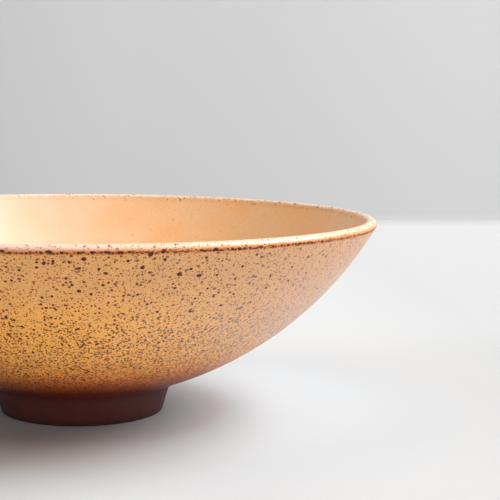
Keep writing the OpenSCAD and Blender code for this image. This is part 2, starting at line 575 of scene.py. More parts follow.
class Graph:
    """Node tree of one material or world, built from Python expressions."""

    def __init__(self, owner: bpy.types.Material | bpy.types.World, end: str) -> None:
        """Starts an empty tree.

        Args:
            owner: Material or world that the tree belongs to.
            end: Type of its output node.
        """
        owner.use_nodes = True
        self.owner = owner
        self.tree = owner.node_tree
        self.tree.nodes.clear()
        self.end = self.tree.nodes.new(end)

    @classmethod
    def material(cls, name: str) -> "Graph":
        """Starts the tree of a new material."""
        return cls(bpy.data.materials.new(name), "ShaderNodeOutputMaterial")

    def node(
        self,
        kind: str,
        settings: dict[str, Any] | None = None,
        sockets: dict[str | int, Any] | None = None,
        output: str | int = 0,
    ) -> Link:
        """Adds a node.

        Args:
            kind: Type of the node.
            settings: Its own settings, which are set before its sockets.
            sockets: Values or links of its input sockets, by name or number.
            output: Name or number of the output to hand back.

        Returns:
            The chosen output.
        """
        made = self.tree.nodes.new(kind)
        for key, setting in (settings or {}).items():
            setattr(made, key, setting)
        for key, value in (sockets or {}).items():
            if isinstance(value, Link):
                self.tree.links.new(value.socket, made.inputs[key])
            else:
                made.inputs[key].default_value = value
        return Link(self, made.outputs[output])

    def math(self, operation: str, *terms: Value) -> Link:
        """Adds a Math node on one or more values."""
        return self.node("ShaderNodeMath", {"operation": operation}, dict(enumerate(terms)))

    def vector_math(self, operation: str, *terms: Any) -> Link:
        """Adds a Vector Math node on one or more vectors."""
        return self.node("ShaderNodeVectorMath", {"operation": operation}, dict(enumerate(terms)))

    def join(self, x: Value, y: Value, z: Value) -> Link:
        """Vector with the given parts."""
        return self.node("ShaderNodeCombineXYZ", {}, {0: x, 1: y, 2: z})

    def split(self, vector: Link) -> tuple[Link, Link, Link]:
        """The three parts of a vector."""
        parts = self.node("ShaderNodeSeparateXYZ", {}, {0: vector})
        return parts.other("X"), parts.other("Y"), parts.other("Z")

    def split_colour(self, colour: Link) -> tuple[Link, Link, Link]:
        """The three parts of a colour."""
        parts = self.node("ShaderNodeSeparateColor", {}, {0: colour})
        return parts.other("Red"), parts.other("Green"), parts.other("Blue")

    def length(self, across: Link, along: Link) -> Link:
        """Length of a flat vector."""
        return self.math("SQRT", across * across + along * along)

    def ease(
        self,
        value: Value,
        start: Value,
        end: Value,
        low: float = 0.0,
        high: float = 1.0,
        curve: str = "SMOOTHSTEP",
    ) -> Link:
        """Step of a value between two limits.

        Args:
            value: The value that is read.
            start: Where the step starts.
            end: Where it ends, which may be below the start.
            low: Result at the start.
            high: Result at the end.
            curve: Shape of the step, which is smooth or linear.

        Returns:
            The stepped value.
        """
        settings = {"interpolation_type": curve}
        sockets = {"Value": value, "From Min": start, "From Max": end, "To Min": low, "To Max": high}
        return self.node("ShaderNodeMapRange", settings, sockets)

    def mix(self, share: Value, first: Any, second: Any, blend: str = "MIX") -> Link:
        """Mixes two colours.

        Args:
            share: Share of the second colour.
            first: First colour, as a link or three values.
            second: Second colour, as a link or three values.
            blend: How the two are blended.

        Returns:
            The mixed colour.
        """
        settings = {"data_type": "RGBA", "blend_type": blend}
        start, end = [tone if isinstance(tone, Link) else (*tone, 1.0) for tone in (first, second)]
        sockets = {MIX_SHARE: share, MIX_FIRST: start, MIX_SECOND: end}
        return self.node("ShaderNodeMix", settings, sockets, MIX_RESULT)

    def shade(self, colour: Link, level: Value) -> Link:
        """Multiplies a colour by a value."""
        return self.mix(1.0, colour, self.join(level, level, level), "MULTIPLY")

    def noise(
        self,
        place: Link,
        grain: float,
        octaves: float = PLAIN_OCTAVES,
        fineness: float = HALF,
        output: str = "Fac",
    ) -> Link:
        """Cloudy noise.

        Args:
            place: Where it is read, in metres.
            grain: Size of its clouds in metres.
            octaves: Octaves of finer noise.
            fineness: Strength of the finer octaves.
            output: Fac for a value, or Color for three at once.

        Returns:
            A value of 0 to 1 that lies mostly near a half, or three of them.
        """
        sockets = {"Vector": place, "Scale": 1 / grain, "Detail": octaves, "Roughness": fineness}
        return self.node("ShaderNodeTexNoise", {}, sockets, output)

    def cells(self, place: Link, spacing: float) -> tuple[Link, tuple[Link, Link, Link]]:
        """Scattered points.

        Args:
            place: Where they are read, in metres.
            spacing: Distance between the points in metres.

        Returns:
            Distance to the nearest point, in spacings, and three chance values of that point.
        """
        sockets = {"Vector": place, "Scale": 1 / spacing}
        distance = self.node("ShaderNodeTexVoronoi", {}, sockets, "Distance")
        return distance, self.split_colour(distance.other("Color"))

    def bump(self, height: Value, depth: float, normal: Link | None = None) -> Link:
        """Adds relief.

        Args:
            height: Height from 0 to 1.
            depth: Height in metres that 1 stands for.
            normal: Relief that this one is laid on.

        Returns:
            The bumped normal.
        """
        sockets: dict[str | int, Any] = {"Height": height, "Distance": depth, "Strength": 1.0}
        if normal is not None:
            sockets["Normal"] = normal
        return self.node("ShaderNodeBump", {}, sockets)

    def surface(self, sockets: dict[str | int, Any]) -> bpy.types.Material:
        """Ends the graph in a principled shader.

        Args:
            sockets: Values or links of the shader's sockets.

        Returns:
            The finished material.
        """
        return self.close(self.node("ShaderNodeBsdfPrincipled", {}, sockets))

    def close(self, shader: Link) -> Any:
        """Joins a shader to the output and gives back the material or world."""
        self.tree.links.new(shader.socket, self.end.inputs["Surface"])
        return self.owner


@dataclass(frozen=True)
class Specks:
    """One size of iron speck in a glaze."""

    spacing: float
    size: float
    softness: float
    share: float
    colour: Colour
    low_colour: Colour
    strength: float = 1.0
    low_growth: float = 0.3
    least: float = 0.5
    warp: float = 0.5
    warp_grain: float = 0.8
    faintest: float = 0.85
    high_share: float = 1.0

    def mask(self, graph: Graph, place: Link, low: Link, crowd: Value) -> Link:
        """Mask of the specks.

        Args:
            graph: Graph of the material.
            place: Where it is read, in metres.
            low: 1 low on the wall, where the specks are larger, and 0 high on it.
            crowd: Share of the specks that are kept, which may vary.

        Returns:
            1 in a speck's middle and 0 outside.
        """
        wander = graph.noise(place, self.size * self.warp_grain, COARSE_OCTAVES, output="Color")
        centred = graph.vector_math("SUBTRACT", wander, (HALF, HALF, HALF))
        reach = self.size * self.warp
        moved = graph.vector_math("MULTIPLY_ADD", centred, (reach, reach, reach), place)
        distance, (chance, bulk, depth) = graph.cells(moved, self.spacing)
        kept = graph.math("LESS_THAN", chance, self.share * crowd)
        growth = 1 + self.low_growth * low
        radius = (self.least + (1 - self.least) * bulk) * growth * (self.size / self.spacing)
        soft = self.softness / self.spacing
        weight = self.faintest + (1 - self.faintest) * depth
        return graph.ease(distance, radius + soft, radius - soft) * kept * weight


class Where:
    """Where a point of the glaze lies on the bowl, as links of a graph."""

    line_drop: float = 0.3 * MM
    lip_from: float = 4.5 * MM
    lip_full: float = 0.5 * MM
    lip_low: float = 0.5 * MM
    lip_high: float = 2.5 * MM

    def __init__(self, graph: Graph, form: BowlForm) -> None:
        """Works the places out.

        Args:
            graph: Graph of the material.
            form: Sizes of the bowl.
        """
        self.graph = graph
        self.point = graph.node("ShaderNodeTexCoord", output="Object")
        self.x, self.y, self.height = graph.split(self.point)
        self.radius = graph.length(self.x, self.y)
        middle, level = map(float, form.outer_c)
        self.along = graph.math("ARCTAN2", self.radius - middle, level - self.height) * form.outer_r
        self.from_line = self.along - form.line_angle * form.outer_r
        rise = self.height - float(form.edge[1])
        self.from_edge = graph.length(self.radius - float(form.edge[0]), rise + self.line_drop)
        lip = float(form.lip[0])
        self.on_lip = graph.ease(self.radius, lip - self.lip_from, lip - self.lip_full)
        self.under_top = graph.ease(rise, self.lip_high, self.lip_low)

    def squeezed(self, share: Value) -> Link:
        """Place with its distances round the bowl drawn together, so that what is read there is stretched."""
        return self.graph.join(self.x * share, self.y * share, self.along)


@dataclass(frozen=True)
class BrokenEdge:
    """Dark line of beads where the glaze breaks thin over the sharp edge."""

    colour: Colour = linear(84, 26, 8)
    tan: Colour = linear(206, 112, 44)
    spacing: float = 1.35 * MM
    small: float = 0.22
    large: float = 0.68
    softness: float = 0.14
    far: float = 1.1 * MM
    near: float = 0.5 * MM
    strength: float = 0.97
    core_far: float = 0.5 * MM
    core_near: float = 0.2 * MM
    core_grain: float = 2.5 * MM
    core_low: float = 0.42
    core_high: float = 0.6
    core_strength: float = 0.7
    halo_far: float = 1.9 * MM
    halo_near: float = 0.3 * MM
    halo_strength: float = 0.6
    rough: float = 0.3

    def lay(self, graph: Graph, where: Where, colour: Link) -> tuple[Link, Link]:
        """Lays the line over a colour.

        Args:
            graph: Graph of the material.
            where: Place on the glaze.
            colour: Colour of the glaze.

        Returns:
            The colour with the line on it, and how much the line roughens the surface.
        """
        distance, (chance, _, _) = graph.cells(where.point, self.spacing)
        size = self.small + (self.large - self.small) * chance
        beads = graph.ease(distance, size + self.softness, size - self.softness)
        beads = beads * graph.ease(where.from_edge, self.far, self.near) * self.strength
        breaks = graph.ease(graph.noise(where.point, self.core_grain), self.core_low, self.core_high)
        core = graph.ease(where.from_edge, self.core_far, self.core_near) * breaks * self.core_strength
        halo = graph.ease(where.from_edge, self.halo_far, self.halo_near) * self.halo_strength
        line = graph.math("MAXIMUM", beads, core)
        return graph.mix(line, graph.mix(halo, colour, self.tan), self.colour), halo * self.rough


@dataclass(frozen=True)
class IronPatch:
    """Dark blue-grey colour of a large iron spot, ragged at its rim."""

    colour: Colour = linear(72, 34, 42)
    ragged: float = 0.3
    grain: float = 0.5 * MM
    rim: float = 0.06
    full: float = 0.34
    strength: float = 0.95

    def lay(self, graph: Graph, where: Where, colour: Link) -> Link:
        """Lays the spot over a colour, by the field that its dome carries.

        Args:
            graph: Graph of the material.
            where: Place on the glaze.
            colour: Colour of the glaze.

        Returns:
            The colour with the spot on it.
        """
        field = graph.node("ShaderNodeAttribute", {"attribute_name": IRON_FIELD}, output="Fac")
        level = field + self.ragged * (graph.noise(where.point, self.grain) - HALF)
        return graph.mix(graph.ease(level, self.rim, self.full) * self.strength, colour, self.colour)


@dataclass(frozen=True)
class GlazeFinish:
    """Satin speckled glaze, with the dark broken line where it runs thin over the sharp edge and a painted
    sheen.
    """

    coat: Coat
    high_colour: Colour
    low_colour: Colour
    pool_and_shade_colour: Colour
    roughness: float
    specks: tuple[Specks, ...]
    lip_specks: tuple[Specks, ...] = ()
    # Paler top of the lip: thinner glaze there, and partly a painted highlight.
    lip_thin_and_highlight: Colour = linear(242, 206, 174)
    lip_low_colour: Colour = linear(226, 160, 102)
    cloud_colour: Colour = linear(236, 160, 70)
    cloud_share: float = 0.0
    cloud_low: float = 0.42
    cloud_high: float = 0.66
    edge: BrokenEdge = BrokenEdge()
    iron: IronPatch = IronPatch()
    density: float = 1.6
    gloss: float = 0.5
    blush: Colour = linear(240, 116, 26)
    blush_reach: float = 68 * MM
    blush_end: float = 14 * MM
    blush_share: float = 0.9
    # Painted sheen: the colour turns pale towards one side, a painted reflection and highlight there.
    painted_sheen: Colour = linear(214, 189, 184)
    sheen_from: float = -15 * MM
    sheen_full: float = 135 * MM
    sheen_share: float = 0.6
    sheen_top: float = 98 * MM
    sheen_high: float = 60 * MM
    sheen_low: float = 60 * MM
    sheen_foot: float = 28 * MM
    sheen_least: float = 0.45
    tone_top: float = 90 * MM
    tone_foot: float = 58 * MM
    low_top: float = 82 * MM
    low_foot: float = 40 * MM
    low_stretch: float = 1.25
    low_crowd: float = 0.5
    # Darker brown towards the glaze line: partly glaze that darkens where it ends, partly painted shade low
    # under the belly.
    pool_shade_reach: float = 50 * MM
    pool_shade_end: float = 7 * MM
    line_wander: float = 6 * MM
    cloud_grain: float = 9 * MM
    cloud_depth: float = 0.2
    peel_grain: float = 0.55 * MM
    peel_fineness: float = 0.6
    mottle: float = 0.9
    streak_grain: float = 0.5 * MM
    streak_stretch: float = 0.03
    streak_low: float = 0.52
    streak_high: float = 0.7
    streak_depth: float = 0.1
    peel_rough: float = 0.12
    speck_rough: float = 0.08
    peel_relief: float = 0.01 * MM
    speck_relief: float = 0.012 * MM
    streak_relief: float = 0.007 * MM

    def layers(self, where: Where, low: Link) -> list[tuple[Specks, Value]]:
        """Layers of specks with the share that each place keeps.

        Args:
            where: Place on the glaze.
            low: 1 low on the wall and 0 high on it.

        Returns:
            Each layer with its share.
        """
        full = 1 + self.low_crowd
        body = [(layer, layer.high_share + (full - layer.high_share) * low) for layer in self.specks]
        return body + [(layer, where.on_lip) for layer in self.lip_specks]

    def ground(self, graph: Graph, where: Where, cloud: Link) -> Link:
        """Colour of the glaze between its specks.

        Args:
            graph: Graph of the material.
            where: Place on the glaze.
            cloud: Soft clouds of 0 to 1.

        Returns:
            The colour.
        """
        tone = graph.ease(where.height, self.tone_top, self.tone_foot)
        colour = graph.mix(tone, self.high_colour, self.low_colour)
        if self.coat is Coat.LINER:
            golden = graph.ease(cloud, self.cloud_low, self.cloud_high) * self.cloud_share
            colour = graph.mix(golden, colour, self.cloud_colour)
            # The lip's top is paler, partly thin glaze and partly a painted highlight.
            lip = graph.mix(where.under_top, self.lip_thin_and_highlight, self.lip_low_colour)
            colour = graph.mix(where.on_lip, colour, lip)
        else:
            from_glaze_line = where.from_line + self.line_wander * (cloud - HALF)
            blush = graph.ease(from_glaze_line, self.blush_reach, self.blush_end) * self.blush_share
            colour = graph.mix(blush, colour, self.blush)
            # Darker towards the glaze line, partly glaze colour and partly painted shade.
            colour = graph.mix(graph.ease(from_glaze_line, self.pool_shade_reach, self.pool_shade_end), colour, self.pool_and_shade_colour)
        return graph.shade(colour, 1 + self.cloud_depth * (cloud - HALF))

    def build(self, name: str, form: BowlForm, spotted: bool = False) -> bpy.types.Material:
        """Makes the material.

        Args:
            name: Name of the material.
            form: Sizes of the bowl.
            spotted: Whether the piece carries the field of the iron spots.

        Returns:
            The material.
        """
        graph = Graph.material(name)
        where = Where(graph, form)
        low = graph.ease(where.height, self.low_top, self.low_foot)
        outer = self.coat is Coat.OUTER
        place = where.squeezed(1 - (1 - self.low_stretch) * low) if outer else where.point
        cloud = graph.noise(where.point, self.cloud_grain, CLOUD_OCTAVES)
        peel = graph.noise(where.point, self.peel_grain, fineness=self.peel_fineness)
        streak = graph.noise(where.squeezed(self.streak_stretch), self.streak_grain)
        colour = graph.shade(self.ground(graph, where, cloud), 1 + self.mottle * (peel - HALF))
        if outer:
            lines = graph.ease(streak, self.streak_low, self.streak_high) * low
            colour = graph.shade(colour, 1 - self.streak_depth * lines)
        speck = graph.math("MULTIPLY", low, 0.0)
        for layer, share in self.layers(where, low):
            mask = layer.mask(graph, place, low, share) * layer.strength
            colour = graph.mix(mask, colour, graph.mix(low, layer.colour, layer.low_colour))
            speck = graph.math("MAXIMUM", speck, mask)
        # Painted sheen: paler towards one side and between two heights, standing for reflected light.
        side = graph.ease(where.x, self.sheen_from, self.sheen_full) * self.sheen_share
        sheen_upper = graph.ease(where.height, self.sheen_top, self.sheen_high, self.sheen_least, 1.0)
        side = side * sheen_upper * graph.ease(where.height, self.sheen_foot, self.sheen_low)
        colour = graph.mix(side, colour, self.painted_sheen)
        colour, dull = self.edge.lay(graph, where, colour)
        if spotted:
            colour = self.iron.lay(graph, where, colour)
        relief = graph.bump(peel, self.peel_relief)
        relief = graph.bump(speck, self.speck_relief, relief)
        relief = graph.bump(streak, self.streak_relief, relief)
        rough = self.roughness + self.peel_rough * (peel - HALF) + self.speck_rough * speck + dull
        shine = {"IOR": self.density, "Specular IOR Level": self.gloss}
        return graph.surface({"Base Color": colour, "Roughness": rough, "Normal": relief, **shine})


@dataclass(frozen=True)
class ClayFinish:
    """Bare fired clay, sponged smooth, with fine grog, turning lines and painted contact shade near the
    table.
    """

    colour: Colour = linear(80, 33, 27)
    pale: Colour = linear(124, 68, 58)
    dark: Colour = linear(44, 18, 15)
    # Painted contact shade: the clay darkens towards the table.
    contact_shade_top: float = 5 * MM
    contact_shade_share: float = 0.5
    roughness: float = 0.62
    grog_rough: float = 0.1
    grog_grain: float = 0.35 * MM
    grog_fineness: float = 0.7
    grog_relief: float = 0.04 * MM
    pale_from: float = 0.55
    pale_full: float = 0.72
    dark_from: float = 0.45
    dark_full: float = 0.3
    cloud_grain: float = 6 * MM
    cloud_depth: float = 0.4
    ring_grain: float = 0.5 * MM
    ring_relief: float = 0.025 * MM

    def build(self, name: str) -> bpy.types.Material:
        """Makes the material.

        Args:
            name: Name of the material.

        Returns:
            The material.
        """
        graph = Graph.material(name)
        point = graph.node("ShaderNodeTexCoord", output="Object")
        x, y, z = graph.split(point)
        grog = graph.noise(point, self.grog_grain, CLOUD_OCTAVES, self.grog_fineness)
        cloud = graph.noise(point, self.cloud_grain, CLOUD_OCTAVES)
        rings = graph.noise(graph.join(graph.length(x, y), z, 0.0), self.ring_grain)
        colour = graph.mix(graph.ease(grog, self.pale_from, self.pale_full), self.colour, self.pale)
        colour = graph.mix(graph.ease(grog, self.dark_from, self.dark_full), colour, self.dark)
        colour = graph.shade(colour, 1 + self.cloud_depth * (cloud - HALF))
        # Painted contact shade, darker towards the table.
        colour = graph.shade(colour, 1 - self.contact_shade_share * graph.ease(z, self.contact_shade_top, 0.0))
        relief = graph.bump(grog, self.grog_relief)
        relief = graph.bump(rings, self.ring_relief, relief)
        rough = self.roughness + self.grog_rough * (grog - HALF)
        return graph.surface({"Base Color": colour, "Roughness": rough, "Normal": relief})


class BowlPiece:
    """A piece of the bowl that stands for one solid."""

    node: str
    slot: Slot

    def __init__(self, form: BowlForm, lathe: Lathe) -> None:
        """Keeps what the piece is made with.

        Args:
            form: Sizes of the bowl.
            lathe: The lathe that turns it.
        """
        self.form = form
        self.lathe = lathe

    def make(self) -> bpy.types.Object:
        """Builds the piece's mesh."""
        raise NotImplementedError

    def dress(self, piece: bpy.types.Object, *materials: bpy.types.Material) -> bpy.types.Object:
        """Gives the piece its materials and its place in the frame.

        Args:
            piece: The piece.
            materials: Its materials, in the order of the finishes of its runs.

        Returns:
            The same piece.
        """
        for material in materials:
            piece.data.materials.append(material)
        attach(piece, BODY)
        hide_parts(self.node)
        return piece


class ClayWall(BowlPiece):
    """Thrown clay body: floor, wall, lip, cove and underside."""

    node = "bowl_wall"
    slot = Slot.CLAY
    wall_steps: int = 40
    lip_steps: int = 16
    cove_steps: int = 14
    under_steps: int = 10

    def make(self) -> bpy.types.Object:
        """Builds the clay body.

        Returns:
            The object.
        """
        f = self.form
        up = f.bare_w / f.lip_r
        back = f.bare_w / f.outer_r
        inside = arc(f.inner_c, f.inner_r + f.glaze_t, 0, f.lip_angle, self.wall_steps)
        inside[0, 0] = 0.0
        lip = arc(f.lip, f.lip_r - f.glaze_t, f.lip_angle + math.pi, f.edge_angle + up, self.lip_steps)
        ridge = np.array([
            f.lip + f.lip_r * down(f.edge_angle + up),
            f.edge,
            f.outer_c + f.outer_r * down(f.outer_edge_angle - back),
        ])
        outside = arc(f.outer_c, f.clay_r, f.outer_edge_angle - back, f.line_angle, self.wall_steps)
        cove_start = angle_from_down(f.line_end - f.cove_c)
        cove_end = angle_from_down(-f.foot_side)
        cove = arc(f.cove_c, f.cove_r, cove_start, cove_end, self.cove_steps)
        seat = np.array([f.foot_outside(f.seat_h), f.well_side(f.seat_h)])
        flat_start = angle_from_down(np.array([f.flat_d / 2, f.flat_h]) - f.outer_c)
        well_meet = angle_from_down(f.well_side(f.seat_h) - f.outer_c)
        under = arc(f.outer_c, f.clay_r, well_meet, flat_start, self.under_steps)
        flat = np.array([[f.flat_d / 2 * HALF, f.flat_h], [0.0, f.flat_h]])
        runs = [
            Run(inside[:-1], False),
            Run(lip, False, GLAZED),
            Run(ridge, True, GLAZED),
            Run(outside[:-1], False),
            Run(cove),
            Run(seat[1:], False),
            Run(under[1:]),
            Run(flat),
        ]
        return self.lathe.turn("clay_wall", runs, False)


class FootRing(BowlPiece):
    """Turned ring that the bowl stands on."""

    node = "foot_ring"
    slot = Slot.FOOT
    side_steps: int = 10
    round_steps: int = 8

    def make(self) -> bpy.types.Object:
        """Builds the foot ring.

        Returns:
            The object.
        """
        f = self.form
        level = np.array([1.0, 0.0])
        in_cut = f.foot_edge_r / math.tan(math.acos(float(f.well_up @ level)) / 2)
        out_cut = f.foot_edge_r / math.tan(math.acos(float(f.foot_up @ -level)) / 2)
        in_middle = f.foot_in + np.array([in_cut, f.foot_edge_r])
        out_middle = f.foot_out + np.array([-out_cut, f.foot_edge_r])
        in_round = arc(in_middle, f.foot_edge_r, f.well_lean - math.pi / 2, 0, self.round_steps)
        out_round = arc(out_middle, f.foot_edge_r, 0, math.pi / 2 - f.foot_lean, self.round_steps)
        share = np.linspace(0, 1, self.side_steps + 1)[:, None]
        outside = out_round[-1] + share * (f.foot_outside(f.seat_h) - out_round[-1])
        inside = f.well_side(f.seat_h) + share * (in_round[0] - f.well_side(f.seat_h))
        runs = [Run(in_round), Run(out_round), Run(outside[1:]), Run(inside[:-1])]
        return self.lathe.turn("foot_ring_turned", runs, True)


class OuterGlaze(BowlPiece):
    """Coat on the outer wall, from the sharp edge down to its roll."""

    node = "outer_glaze"
    slot = Slot.OUTER
    wall_steps: int = 76
    roll_steps: int = 24
    back_steps: int = 30
    roll_reach: float = 5.5 * MM
    roll_spread: float = 1.5 * MM

    def roll(self) -> np.ndarray:
        """Section of the coat's lower end, from its full thickness down to the clay."""
        f = self.form
        above = np.concatenate([
            np.linspace(self.roll_reach, f.roll_r, self.roll_steps // 2, endpoint=False),
            f.roll_r * (1 - np.sin(np.linspace(0, math.pi / 2, self.roll_steps // 2))),
        ])
        swell = (f.roll_r - f.glaze_t) * np.exp(-(((above - f.roll_r) / self.roll_spread) ** 2))
        round_end = np.sqrt(np.maximum(f.roll_r**2 - (f.roll_r - above) ** 2, 0.0))
        thick = np.where(above >= f.roll_r, f.glaze_t + swell, round_end)
        start = f.line_angle - f.roll_r / f.clay_r / 2
        angles = start + above / f.clay_r
        depth = f.clay_r + thick
        return f.outer_c + np.column_stack([depth * np.sin(angles), -depth * np.cos(angles)])

    def make(self) -> bpy.types.Object:
        """Builds the outer coat.

        Returns:
            The object.
        """
        f = self.form
        top = f.outer_edge_angle - f.bare_w / f.outer_r
        roll = self.roll()
        shoulder = f.line_angle - f.roll_r / f.clay_r / 2 + self.roll_reach / f.clay_r
        wall = arc(f.outer_c, f.outer_r, top, shoulder, self.wall_steps)
        back = arc(f.outer_c, f.clay_r, angle_from_down(roll[-1] - f.outer_c), top, self.back_steps)
        runs = [Run(wall[:-1]), Run(roll), Run(back[1:], False)]
        return self.lathe.turn("outer_coat", runs, True, dripping=True)


class LinerGlaze(BowlPiece):
    """Coat on the whole inside and over the lip."""

    node = "liner_glaze"
    slot = Slot.LINER
    inside_steps: int = 72
    lip_steps: int = 36
    back_steps: int = 30

    def make(self) -> bpy.types.Object:
        """Builds the liner.

        Returns:
            The object.
        """
        f = self.form
        end = f.edge_angle + f.bare_w / f.lip_r
        inside = arc(f.inner_c, f.inner_r, 0, f.lip_angle, self.inside_steps)
        lip = arc(f.lip, f.lip_r, f.lip_angle + math.pi, end, self.lip_steps)
        under_lip = arc(f.lip, f.lip_r - f.glaze_t, end, f.lip_angle + math.pi, self.lip_steps // 2)
        back = arc(f.inner_c, f.inner_r + f.glaze_t, f.lip_angle, 0, self.back_steps)
        inside[0, 0] = 0.0
        back[-1, 0] = 0.0
        runs = [Run(inside[:-1]), Run(lip), Run(under_lip, False), Run(back[1:], False)]
        return self.lathe.turn("liner_coat", runs, False)


@dataclass(frozen=True)
class Camera:
    """The photograph's camera, fitted to the rim, the glaze line and the foot."""

    distance: float = 0.674
    height: float = 0.1573
    yaw: float = math.radians(7.33)
    pitch: float = math.radians(6.32)
    roll: float = math.radians(0.66)
    focal: float = 1312.0
    frame_px: float = 500.0
    sensor: float = 36.0
    near: float = 0.01
    far: float = 50.0

    @cached_property
    def place(self) -> Vector:
        """Where the camera stands."""
        return Vector((0.0, -self.distance, self.height))

    @cached_property
    def axes(self) -> tuple[Vector, Vector, Vector]:
        """Its right, up and forward directions."""
        flat = math.cos(self.pitch)
        forward = Vector((math.sin(self.yaw) * flat, math.cos(self.yaw) * flat, -math.sin(self.pitch)))
        right = Vector((math.cos(self.yaw), -math.sin(self.yaw), 0.0))
        up = right.cross(forward)
        turned_right = right * math.cos(self.roll) + up * math.sin(self.roll)
        turned_up = up * math.cos(self.roll) - right * math.sin(self.roll)
        return turned_right, turned_up, forward

    def make(self) -> bpy.types.Object:
        """Builds the camera and makes it the scene's own.

        Returns:
            The camera object.
        """
        data = bpy.data.cameras.new("photo_camera")
        data.sensor_width = self.sensor
        data.lens = self.focal * self.sensor / self.frame_px
        data.clip_start = self.near
        data.clip_end = self.far
        camera = put("photo_camera", data)
        right, up, forward = self.axes
        turned = Matrix((right, up, -forward)).transposed().to_4x4()
        camera.matrix_world = Matrix.Translation(self.place) @ turned
        bpy.context.scene.camera = camera
        return camera

    def ray(self, column: float, row: float) -> Vector:
        """Direction in which a pixel of the photograph looks.

        Args:
            column: Pixel column.
            row: Pixel row.

        Returns:
            The unit direction.
        """
        right, up, forward = self.axes
        half = self.frame_px / 2
        return (forward * self.focal + right * (column - half) + up * (half - row)).normalized()

    def sees(self, point: Vector, normal: Vector) -> bool:
        """Whether a point that faces the camera falls in the photograph's frame.

        Args:
            point: The point.
            normal: Direction that its surface faces.

        Returns:
            True where the photograph shows it.
        """
        right, up, forward = self.axes
        line = point - self.place
        if line.dot(normal) >= 0:
            return False
        deep = line.dot(forward)
        half = self.frame_px / 2
        column = half + self.focal * line.dot(right) / deep
        row = half - self.focal * line.dot(up) / deep
        return 0 <= column <= self.frame_px and 0 <= row <= self.frame_px


@dataclass(frozen=True)
class Spot:
    """A large iron spot, by the photograph's pixel and its size in millimetres."""

    column: float
    row: float
    wide: float
    tall: float = 0.0


RIM_SPOTS = (
    Spot(1.5, 251.0, 2.2, 1.3), Spot(48.5, 252.0, 3.0, 1.5), Spot(92.0, 252.5, 1.8, 1.3),
    Spot(107.0, 252.5, 3.0, 1.4), Spot(164.0, 250.5, 2.2, 1.3), Spot(216.0, 249.0, 1.9, 1.3),
    Spot(239.5, 249.5, 1.8, 1.2),
)

UPPER_SPOTS = (
    Spot(84.0, 259.0, 2.2), Spot(43.5, 263.5, 1.7), Spot(53.0, 261.0, 1.4), Spot(69.0, 262.0, 1.5),
    Spot(79.0, 268.5, 1.5), Spot(99.0, 269.0, 1.4), Spot(36.5, 267.5, 1.4), Spot(19.0, 270.0, 1.4),
    Spot(106.0, 273.5, 1.6), Spot(72.0, 285.0, 1.5), Spot(70.5, 282.0, 1.3), Spot(79.0, 291.0, 1.9),
    Spot(91.0, 294.0, 1.5), Spot(42.0, 297.5, 1.5), Spot(52.0, 296.5, 1.4), Spot(128.0, 261.0, 1.5),
    Spot(11.5, 280.5, 1.4), Spot(150.5, 254.5, 2.3), Spot(179.5, 274.0, 2.4), Spot(199.0, 275.5, 2.7, 1.9),
    Spot(165.0, 259.5, 1.7), Spot(191.0, 269.0, 1.5), Spot(142.5, 267.5, 2.0), Spot(206.5, 257.5, 1.4),
    Spot(149.5, 272.5, 1.3), Spot(217.0, 275.0, 1.4), Spot(235.0, 279.0, 1.4), Spot(242.5, 266.5, 1.5),
    Spot(257.0, 254.5, 1.5), Spot(261.5, 257.0, 1.3), Spot(308.0, 257.0, 1.5), Spot(326.0, 256.5, 1.4),
    Spot(292.0, 267.0, 1.4), Spot(306.0, 273.0, 1.3), Spot(270.5, 275.0, 1.3), Spot(288.5, 280.5, 1.4),
    Spot(317.0, 289.0, 1.3),
)

MIDDLE_SPOTS = (
    Spot(221.0, 305.3, 2.0, 1.3), Spot(230.0, 292.5, 1.3), Spot(233.5, 294.0, 1.2), Spot(190.0, 311.5, 1.5),
    Spot(175.0, 288.0, 1.4), Spot(207.5, 288.5, 1.3), Spot(213.5, 296.5, 1.3), Spot(195.0, 298.5, 1.3),
    Spot(218.5, 292.5, 1.3), Spot(235.0, 285.0, 1.2), Spot(138.0, 294.5, 1.4), Spot(137.0, 284.0, 1.3),
    Spot(157.5, 312.0, 1.4), Spot(249.5, 317.0, 1.3), Spot(229.0, 322.0, 1.3), Spot(250.5, 302.0, 1.3),
    Spot(266.0, 288.0, 1.3), Spot(288.0, 308.5, 1.8, 1.0),
)

LOWER_SPOTS = (
    Spot(6.0, 318.0, 2.0, 1.4), Spot(46.0, 308.0, 1.4), Spot(51.0, 317.5, 1.4), Spot(51.5, 324.0, 1.4),
    Spot(22.0, 326.5, 1.4), Spot(13.0, 326.5, 1.3), Spot(10.5, 330.5, 1.3), Spot(78.5, 329.0, 1.5),
    Spot(70.0, 332.0, 1.4), Spot(70.5, 335.0, 1.2), Spot(90.0, 326.0, 1.4), Spot(90.5, 337.5, 1.4),
    Spot(82.0, 342.0, 1.4), Spot(96.5, 342.0, 1.3), Spot(62.0, 339.0, 1.3), Spot(62.5, 345.0, 1.3),
    Spot(108.0, 346.0, 2.0, 1.1), Spot(33.0, 352.5, 1.4), Spot(81.5, 353.0, 1.3), Spot(120.0, 356.5, 1.4),
    Spot(72.5, 369.5, 1.4), Spot(88.5, 371.5, 1.3), Spot(48.0, 387.5, 1.3), Spot(193.5, 337.0, 1.3),
    Spot(235.5, 345.5, 1.4), Spot(207.5, 350.0, 1.3), Spot(167.5, 374.5, 1.8, 1.2),
)


